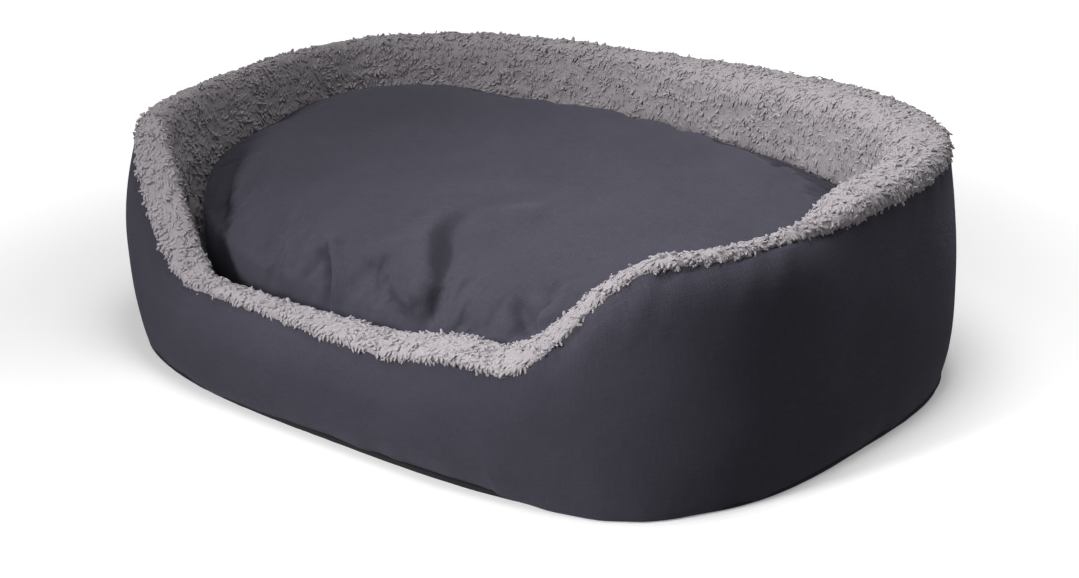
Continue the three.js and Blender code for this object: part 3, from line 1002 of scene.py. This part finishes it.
def make_binding():
    """A folded tape round the foot of the bed, with a row of stitches."""
    columns = 640
    angle, length = even_angles(columns)
    along = np.arange(columns) * length / columns
    section = [
        (0.0125, 0.0046),
        (0.0105, 0.0050),
        (0.0092, 0.0047),
        (0.0084, 0.0038),
        (0.0081, 0.0024),
        (0.0084, 0.0011),
        (0.0093, 0.0004),
        (0.0110, 0.0003),
        (0.0150, 0.0003),
    ]
    line = smooth_line(section[::-1], 16)
    grid = np.array([at_inset(angle, inset, z) for inset, z in line])
    ripple = 0.0003 * lattice(xyz(along, 0, 0)[:, :2], 0.012, 81)
    grid[..., :2] += grid_normals(grid, closed=True)[..., :2] * ripple[None, :, None]
    faces = grid_faces(len(line), columns, closed=True)
    travelled = np.concatenate([[0], np.cumsum(np.linalg.norm(np.diff(line, axis=0), axis=1))])
    flat = xyz(along, travelled[:, None], 0)[..., :2]
    tape = cloth_piece("base_binding_tape", grid, faces, binding_tape, flat, 0.0006, length)
    finish_piece(tape, "bed", "binding", "base_binding")
    stitch_angle = even_angles(int(length / BINDING_STITCH_SPACING))[0]
    centres = at_inset(stitch_angle, 0.0083, 0.0033)
    ahead = unit(np.roll(centres, -1, axis=0) - np.roll(centres, 1, axis=0))
    outward = unit(np.cross(ahead, np.array([0.0, 0.0, 1.0])))
    places = centres + outward * 0.0001
    stitches = beads("binding_stitches", places, ahead, outward, BINDING_STITCH, dark_thread)
    finish_piece(stitches, "bed", "binding")


# ---- Cushion ----

# Folds on the cushion's top. Each is a line along its bottom, then its half width, its depth, and the height of
# the bank beside it, which is on the left of the line's direction if above 0.
FOLDS = [
    (
        [(-0.088, -0.166, 0.131), (-0.075, -0.184, 0.128), (-0.059, -0.200, 0.121), (-0.050, -0.210, 0.110)]
        + [(-0.046, -0.214, 0.085)],
        (0.0060, 0.0100, 0.0055),
    ),
    (
        [(0.017, -0.062, 0.140), (0.013, -0.080, 0.139), (0.016, -0.100, 0.138), (0.027, -0.124, 0.135)]
        + [(0.045, -0.146, 0.132), (0.059, -0.167, 0.129), (0.069, -0.184, 0.124), (0.073, -0.199, 0.118)]
        + [(0.071, -0.209, 0.109), (0.064, -0.213, 0.094)],
        (0.0094, 0.0112, -0.0070),
    ),
    (
        [(0.064, -0.214, 0.098), (0.047, -0.213, 0.105), (0.034, -0.212, 0.110), (0.018, -0.207, 0.116)],
        (0.006, 0.006, 0.003),
    ),
    (
        [(-0.040, -0.176, 0.130), (-0.012, -0.193, 0.125), (0.012, -0.205, 0.119), (0.030, -0.211, 0.112)],
        (0.012, 0.004, 0.0),
    ),
    (
        [(0.140, -0.164, 0.125), (0.152, -0.175, 0.122), (0.163, -0.182, 0.119), (0.172, -0.187, 0.113)],
        (0.0085, 0.008, 0.004),
    ),
    (
        [(-0.138, -0.180, 0.125), (-0.124, -0.196, 0.117), (-0.115, -0.205, 0.104), (-0.108, -0.209, 0.085)],
        (0.014, 0.007, 0.004),
    ),
    (
        [(-0.262, -0.075, 0.150), (-0.257, -0.110, 0.144), (-0.240, -0.142, 0.134), (-0.220, -0.166, 0.115)],
        (0.012, 0.007, 0.003),
    ),
    ([(0.060, -0.020, 0.143), (0.035, -0.035, 0.143), (0.017, -0.055, 0.141)], (0.016, 0.003, 0.002)),
    ([(-0.180, -0.090, 0.145), (-0.160, -0.130, 0.138), (-0.150, -0.160, 0.130)], (0.030, 0.005, 0.0)),
    ([(0.020, -0.130, 0.135), (-0.005, -0.165, 0.128), (-0.020, -0.190, 0.122)], (0.018, -0.0035, 0.0)),
]


def cushion_halves(shrink=0.0):
    """The cushion's half length to the left and to the right, and its half depth."""
    left = HALF_LENGTH - CUSHION_INSET_LEFT - shrink
    right = HALF_LENGTH - CUSHION_INSET - shrink
    return left, right, HALF_DEPTH - CUSHION_INSET - shrink


def cushion_crown(x, y):
    half_y = cushion_halves()[2]
    left = CROWN_LEFT_RISE * smoothstep(-x, 0.12, 0.31)
    return lerp(CROWN_LOW, CROWN_HIGH, 0.5 + 0.5 * y / half_y) - CROWN_TILT * x + left


def cushion_top_height(x, y, share, shrink=0.0):
    half_y = cushion_halves()[2]
    power = lerp(CUSHION_TOP_POWER_FRONT, CUSHION_TOP_POWER_BACK, smoothstep(y, -half_y, 0.4 * half_y))
    dome = (1 - np.clip(share, 0, 1) ** power) ** (1 / power)
    return CUSHION_SEAM + (cushion_crown(x, y) - CUSHION_SEAM - shrink) * dome


def cushion_under_height(y, share, shrink=0.0):
    flank = FLANK_SLOPE * np.maximum(0, y - FLANK_START)
    bowl = (1 - np.clip(share, 0, 1) ** CUSHION_RIM_POWER) ** (1 / CUSHION_RIM_POWER)
    roll = (CUSHION_SEAM - CUSHION_FLOOR) * (1 - bowl)
    return np.minimum(CUSHION_FLOOR + np.maximum(flank, roll) + shrink, CUSHION_SEAM)


def unrolled(points):
    """Where a point of the cushion's top lies on the cloth before it was bent over the edge."""
    x, y, z = points[..., 0], points[..., 1], points[..., 2]
    radius = np.maximum(np.hypot(x, y), 1e-6)
    drop = np.maximum(cushion_crown(x, y) - z, 0)
    return np.stack([x, y], axis=-1) * ((radius + drop) / radius)[..., None]


def from_line(points, line):
    """Each flat point's signed distance to a line of points, and how far along it the nearest place is."""
    best = np.full(points.shape[:-1], 1e9)
    signed = np.zeros_like(best)
    place = np.zeros_like(best)
    lengths = np.linalg.norm(np.diff(line, axis=0), axis=1)
    before = 0.0
    for start, stop, length in zip(line[:-1], line[1:], lengths):
        ahead = (stop - start) / length
        offset = points - start
        t = np.clip(offset @ ahead, 0, length)
        gap = offset - t[..., None] * ahead
        distance = np.linalg.norm(gap, axis=-1)
        side = np.sign(ahead[0] * offset[..., 1] - ahead[1] * offset[..., 0])
        nearer = distance < best
        best = np.where(nearer, distance, best)
        signed = np.where(nearer, distance * side, signed)
        place = np.where(nearer, before + t, place)
        before += length
    return signed, place / lengths.sum()


def fold_relief(flat):
    relief = np.zeros(flat.shape[:-1])
    for line, (width, depth, ridge) in FOLDS:
        path = smooth_line(unrolled(np.array(line)), 24)
        distance, place = from_line(flat, path)
        taper = smoothstep(place, 0.0, 0.45) * (1 - 0.4 * smoothstep(place, 0.85, 1.0))
        ends = np.where((place <= 0) | (place >= 1), bump(distance, 0, 2 * width), 1.0)
        valley = -depth * bump(distance, 0, width) * taper * ends
        bank = abs(ridge) * bump(distance, math.copysign(2.0 * width, ridge), 1.7 * width)
        relief += valley + bank * smoothstep(place, 0.0, 0.4) * (1 - smoothstep(place, 0.75, 1.0))
    return relief


def cushion_shell(count, shrink=0.0):
    """The cushion's top and underside as square grids, with each point's share of the way to the edge."""
    left, right, half_y = cushion_halves(shrink)
    x, y, share, angle = disc_grid(count, (left, right), half_y, CUSHION_POWER)
    top = xyz(x, y, cushion_top_height(x, y, share, shrink))
    under = xyz(x, y, cushion_under_height(y, share, shrink))
    return top, under, share, angle


def closed_shell(top, under):
    """Points and quads of two square grids joined round the edge of the upper one."""
    count = top.shape[0]
    size = count * count
    faces = grid_faces(count, count)
    rim = rim_of(count)
    number = np.arange(2 * size)
    number[rim + size] = rim
    inner = np.setdiff1d(np.arange(size), rim)
    number[inner + size] = size + np.arange(len(inner))
    points = np.concatenate([top.reshape(-1, 3), under.reshape(-1, 3)[inner]])
    return points, np.concatenate([faces, number[faces[:, ::-1] + size]])


CLOTH_SETTINGS = {
    "quality": 6,
    "mass": 0.3,
    "tension_stiffness": 12,
    "compression_stiffness": 12,
    "shear_stiffness": 6,
    "bending_stiffness": 0.6,
    "air_damping": 1.2,
    "use_pressure": True,
    "uniform_pressure_force": 4.0,
    "shrink_min": -0.022,
    "vertex_group_mass": "held",
}


def stuffed(top, under):
    """The cushion's top after its filling has pushed it out: cloth simulation, capped, with the seam held."""
    count = top.shape[0]
    size = count * count
    points, quads = closed_shell(top, under)
    body = mesh_piece("stuffing_trial", points, quads)
    held = body.vertex_groups.new(name="held")
    held_points = np.concatenate([rim_of(count), np.arange(size, len(points))])
    held.add(held_points.tolist(), 1.0, "REPLACE")
    cloth = body.modifiers.new("cloth", "CLOTH")
    for name, value in CLOTH_SETTINGS.items():
        setattr(cloth.settings, name, value)
    cloth.settings.effector_weights.gravity = 0.0
    cloth.collision_settings.use_collision = False
    cloth.point_cache.frame_start = 1
    cloth.point_cache.frame_end = STUFFING_FRAMES
    scene = bpy.context.scene
    for number in range(1, STUFFING_FRAMES + 1):
        scene.frame_set(number)
        bpy.context.view_layer.update()
    settled = body.evaluated_get(bpy.context.evaluated_depsgraph_get()).to_mesh()
    moved = np.zeros(len(points) * 3, np.float32)
    settled.vertices.foreach_get("co", moved)
    scene.frame_set(1)
    bpy.data.objects.remove(body)
    change = moved.reshape(-1, 3)[:size] - points[:size]
    reach = np.linalg.norm(change, axis=1, keepdims=True)
    change *= np.minimum(1, STUFFING_LIMIT / np.maximum(reach, 1e-9))
    return (points[:size] + change).reshape(count, count, 3)


def upsample(grid):
    """Twice as many points each way, on smooth curves through the given ones."""
    for axis in (0, 1):
        grid = np.moveaxis(grid, axis, 0)
        padded = np.concatenate([2 * grid[:1] - grid[1:2], grid, 2 * grid[-1:] - grid[-2:-1]])
        middle = (-padded[:-3] + 9 * padded[1:-2] + 9 * padded[2:-1] - padded[3:]) / 16
        out = np.empty((2 * len(grid) - 1, *grid.shape[1:]))
        out[::2] = grid
        out[1::2] = middle
        grid = np.moveaxis(out, 0, axis)
    return grid


def make_cushion_top():
    """The upper panel: stuffed, with its folds, its slow waves and the puckers along its seam."""
    smooth, under = cushion_shell(CUSHION_GRID)[:2]
    top = stuffed(smooth, under)
    top, smooth = upsample(top), upsample(smooth)
    count = top.shape[0]
    flat = unrolled(smooth)
    left, right, half_y = cushion_halves()
    share, angle = disc_grid(count, (left, right), half_y, CUSHION_POWER)[2:]
    up_seam = np.maximum(smooth[..., 2] - CUSHION_SEAM, 0)
    near_seam = np.exp(-up_seam / 0.012) * smoothstep(share, 0.8, 1.0)
    round_edge = np.stack(superellipse(angle, right, half_y, CUSHION_POWER), axis=-1)
    pucker = ripples(round_edge, (0.0011, 0.010, 91), (0.0009, 0.024, 92))
    slow = ripples(flat, (0.0020, 0.085, 93), (0.0008, 0.038, 94))
    relief = fold_relief(flat) + slow * (1 - near_seam) + pucker * near_seam
    relief *= smoothstep(up_seam, -0.001, 0.006)
    points = top + grid_normals(top, closed=False) * relief[..., None]
    points[..., :2] *= (1 - 0.006 * np.exp(-up_seam / 0.003))[..., None]
    faces = grid_faces(count, count)
    piece = cloth_piece("cushion_top_cloth", points, faces, cushion_cloth, flat, CUSHION_THICKNESS)
    finish_piece(piece, "cushion", "cushion_fabric", "cushion_top_panel")
    return points


def make_cushion_underside(edge_points):
    """The two lower panels, which meet at the zip's opening."""
    count = edge_points.shape[0]
    under, share = cushion_shell(count)[1:3]
    rim = rim_of(count)
    under.reshape(-1, 3)[rim] = edge_points.reshape(-1, 3)[rim]
    soft = 0.0005 * lattice(under[..., :2], 0.05, 95) * smoothstep(1 - share, 0.0, 0.1)
    under[..., 2] += np.maximum(soft, 0)
    trial = mesh_piece("underside_trial", under, grid_faces(count, count)[:, ::-1])
    zip_y = zip_origin.y
    slot_x, slot_y = ZIP_SLOT
    planes = [((0, 1, 0), zip_y + off) for off in (-slot_y, slot_y, 0)]
    planes += [((1, 0, 0), off) for off in (-slot_x, slot_x)]
    for side, name in ((-1, "front"), (1, "rear")):
        cut = bmesh.new()
        cut.from_mesh(trial.data)
        for normal, distance in planes:
            parts = cut.verts[:] + cut.edges[:] + cut.faces[:]
            bmesh.ops.bisect_plane(cut, geom=parts, plane_co=Vector(normal) * distance, plane_no=normal)
        unwanted = []
        for face in cut.faces:
            centre = face.calc_center_median()
            off = centre.y - zip_y
            if off * side < 0 or (abs(centre.x) < slot_x and abs(off) < slot_y):
                unwanted.append(face)
        bmesh.ops.delete(cut, geom=unwanted, context="FACES")
        mesh = bpy.data.meshes.new(f"cushion_base_{name}")
        cut.to_mesh(mesh)
        cut.free()
        mesh.shade_smooth()
        mesh.materials.append(cushion_cloth)
        piece = bpy.data.objects.new(f"cushion_base_{name}_cloth", mesh)
        bpy.context.scene.collection.objects.link(piece)
        place = np.zeros(len(mesh.vertices) * 3, np.float32)
        mesh.vertices.foreach_get("co", place)
        set_weave(piece, place.reshape(-1, 3)[:, :2])
        thicken(piece, CUSHION_THICKNESS)
        finish_piece(piece, "cushion", "cushion_fabric", f"cushion_base_panel_{name}")
    bpy.data.objects.remove(trial)


def make_filling(sewn_top):
    """The filling in its inner bag: the cushion's own shape, a little smaller all round."""
    sewn = sewn_top[::2, ::2]
    count = sewn.shape[0]
    top = sewn - grid_normals(sewn, closed=False) * FILLING_GAP
    under, share = cushion_shell(count, FILLING_GAP)[1:3]
    under[..., 2] -= FILLING_GAP - 0.0035
    rim = rim_of(count)
    top.reshape(-1, 3)[rim] = under.reshape(-1, 3)[rim]
    top[..., 2] += 0.0007 * lattice(top, 0.03, 96) * smoothstep(1 - share, 0.0, 0.1)
    off_zip = zip_origin.y - under[..., 1]
    pocket = smoothstep(-np.abs(off_zip), -0.030, -0.018) * smoothstep(-np.abs(under[..., 0]), -0.185, -0.168)
    under[..., 2] += 0.011 * pocket
    points, quads = closed_shell(top, under)
    piece = mesh_piece("cushion_filling_bag", points, quads, (), wadding)
    finish_piece(piece, "cushion", "filling", "cushion_filling")


# ---- Zip ----


def zip_frame():
    """The zip's own frame, from the pull's hinge: its axis lies across the zip, just outside it."""
    hinge = joints["pull_swing"]
    across = Vector(hinge["axis"]).normalized()
    along = Vector((1, 0, 0))
    inward = along.cross(across)
    pivot = Vector(hinge["pos_m"])
    origin = pivot + inward * PULL_PIVOT
    origin.x = 0
    return Matrix((along, across, inward)).transposed(), origin


zip_axes, zip_origin = zip_frame()


def in_zip(points):
    """Points in the zip's frame, carried to the bed's."""
    return np.asarray(points) @ np.array(zip_axes).T + np.array(zip_origin)


def half_length(node):
    low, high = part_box(node)
    return (high.x - low.x) / 2


def make_zip_tape(name, side):
    half = half_length("zip_tape_front")
    xs = np.linspace(-half, half, 240)
    ys = side * np.linspace(0.0032, 0.0158, 12)
    if side < 0:
        ys = ys[::-1]
    gx, gy = np.meshgrid(xs, ys)
    flat = np.stack([gx, gy], axis=-1)
    ripple = 0.00012 * lattice(flat, 0.018, 101)
    points = in_zip(xyz(gx, gy, 0.0013 + np.maximum(ripple, 0)))
    quads = grid_faces(len(ys), len(xs))[:, ::-1]
    tape = cloth_piece(f"zip_tape_{name}_woven", points, quads, zip_tape_cloth, flat, 0.0006)
    finish_piece(tape, "cushion", "zip_tape", f"zip_tape_{name}")


def make_zip_coil(name, side):
    """One row of the zip: a nylon wire wound into flattened turns along the tape's edge."""
    half = half_length("zip_coil_front") - 0.001
    pitch = 0.0014
    turns = int(2 * half / pitch)
    per_turn = 12
    wire = 0.00034
    t = np.arange(turns * per_turn + 1) / per_turn
    phase = TAU * t + (math.pi if side > 0 else 0)
    x = -half + t * pitch
    y = side * 0.0014 + 0.00135 * np.cos(phase)
    z = 0.0016 + 0.00075 * np.sin(phase)
    line = in_zip(xyz(x, y, z))
    ahead = unit(np.gradient(line, axis=0))
    side_way = unit(np.cross(ahead, np.array(zip_axes.col[0])))
    lifted = np.cross(ahead, side_way)
    turn = (np.arange(5) * TAU / 5)[:, None]
    points = line[:, None] + wire * (side_way[:, None] * np.cos(turn) + lifted[:, None] * np.sin(turn))
    ends = np.array([[0, 2, 1], [0, 3, 2], [0, 4, 3]])
    last = (len(line) - 1) * 5
    caps = np.concatenate([ends, ends[:, ::-1] + last])
    quads = grid_faces(len(line), 5, closed=True)
    coil = mesh_piece(f"zip_coil_{name}_wound", points, quads, caps, nylon)
    finish_piece(coil, "cushion", "zip_coil", f"zip_coil_{name}")


def make_zip_stitches(name, side):
    """Two rows that hold the tape to its panel."""
    xs = np.arange(-ZIP_STITCHED_HALF, ZIP_STITCHED_HALF, ZIP_STITCH_SPACING)
    ahead = np.tile([1.0, 0.0, 0.0], (len(xs), 1))
    down = np.tile(-np.array(zip_axes.col[2]), (len(xs), 1))
    for row, off in enumerate((0.0098, 0.0130)):
        y = zip_origin.y + side * off
        z = cushion_under_height(y, 0) - 0.0004
        piece = beads(f"zip_stitches_{name}_{row}", xyz(xs, y, z), ahead, down, ZIP_STITCH, dark_thread)
        finish_piece(piece, "cushion", "cushion_fabric")


def make_zip():
    for name, side in (("front", -1), ("rear", 1)):
        make_zip_tape(name, side)
        make_zip_coil(name, side)
        make_zip_stitches(name, side)
    for node in ("zip_stop_left", "zip_stop_right", "zip_slider", "zip_pull"):
        materials = frame["nodes"][node].data.materials
        materials.clear()
        materials.append(metal)


# ---- Studio ----


def make_camera():
    azimuth, elevation, roll = (math.radians(angle) for angle in CAMERA_ANGLES)
    level = math.cos(elevation)
    back = Vector((math.sin(azimuth) * level, -math.cos(azimuth) * level, math.sin(elevation)))
    right = Vector((math.cos(azimuth), math.sin(azimuth), 0))
    up = back.cross(right)
    turned_right = right * math.cos(roll) + up * math.sin(roll)
    turned_up = up * math.cos(roll) - right * math.sin(roll)
    data = bpy.data.cameras.new("camera")
    data.lens = CAMERA_LENS
    data.sensor_width = 36
    data.shift_x, data.shift_y = CAMERA_SHIFT
    camera = bpy.data.objects.new("camera", data)
    turned = Matrix((turned_right, turned_up, back)).transposed().to_4x4()
    camera.matrix_world = Matrix.Translation(Vector(CAMERA_TARGET) + back * CAMERA_DISTANCE) @ turned
    bpy.context.scene.collection.objects.link(camera)
    bpy.context.scene.camera = camera


def area_light(name, place, aim, size, power, beam):
    """A round soft box. beam is its width in degrees."""
    data = bpy.data.lights.new(name, "AREA")
    data.shape = "DISK"
    data.size = size
    data.energy = power
    data.spread = math.radians(beam)
    light = bpy.data.objects.new(name, data)
    light.location = place
    light.rotation_euler = (Vector(aim) - Vector(place)).to_track_quat("-Z", "Y").to_euler()
    bpy.context.scene.collection.objects.link(light)


def floor_material():
    """White paper that glows a little, less so under the bed, where its shadow is."""
    paper = new_material("floor_paper", roughness=0.95, specular=0.0)
    vector = object_vector(paper)
    paint(paper, noise_node(paper, vector, 60.0, 2.0), (0.86, 0.86, 0.86), (0.88, 0.88, 0.88))
    shader = paper.node_tree.nodes["Principled BSDF"]
    shader.inputs["Emission Color"].default_value = (1, 1, 1, 1)
    away = add_node(paper, "ShaderNodeVectorMath", {0: vector}, operation="LENGTH").outputs["Value"]
    glow = {"Value": away, "From Min": 0.30, "From Max": 0.85, "To Min": 0.2, "To Max": 0.85}
    glow = add_node(paper, "ShaderNodeMapRange", glow, interpolation_type="SMOOTHSTEP")
    connect(paper, "Emission Strength", glow.outputs["Result"])
    return paper


def make_studio():
    world = bpy.data.worlds.new("studio")
    bpy.context.scene.world = world
    world.use_nodes = True
    background = world.node_tree.nodes["Background"]
    background.inputs["Color"].default_value = (1, 1, 1, 1)
    background.inputs["Strength"].default_value = 0.27
    area_light("overhead", (0.24, -0.08, 1.30), (0.20, -0.06, 0), 0.7, 2.15, 66)
    area_light("key", (-0.52, -2.30, 1.15), (0.12, -0.2, 0.1), 0.8, 2.35, 28)
    corners = [(-30, -30, 0), (30, -30, 0), (30, 30, 0), (-30, 30, 0)]
    floor = mesh_piece("floor", corners, [[0, 1, 2, 3]], (), floor_material())
    floor.location.z = -0.0002
    floor.visible_diffuse = False
    floor.visible_glossy = False
    bpy.context.scene.view_settings.view_transform = "Standard"


make_camera()
make_studio()
make_wall_foam()
make_outer_cover()
make_fleece()
make_base()
make_floor()
sewn_top = make_cushion_top()
make_cushion_underside(sewn_top)
make_filling(sewn_top)
make_zip()
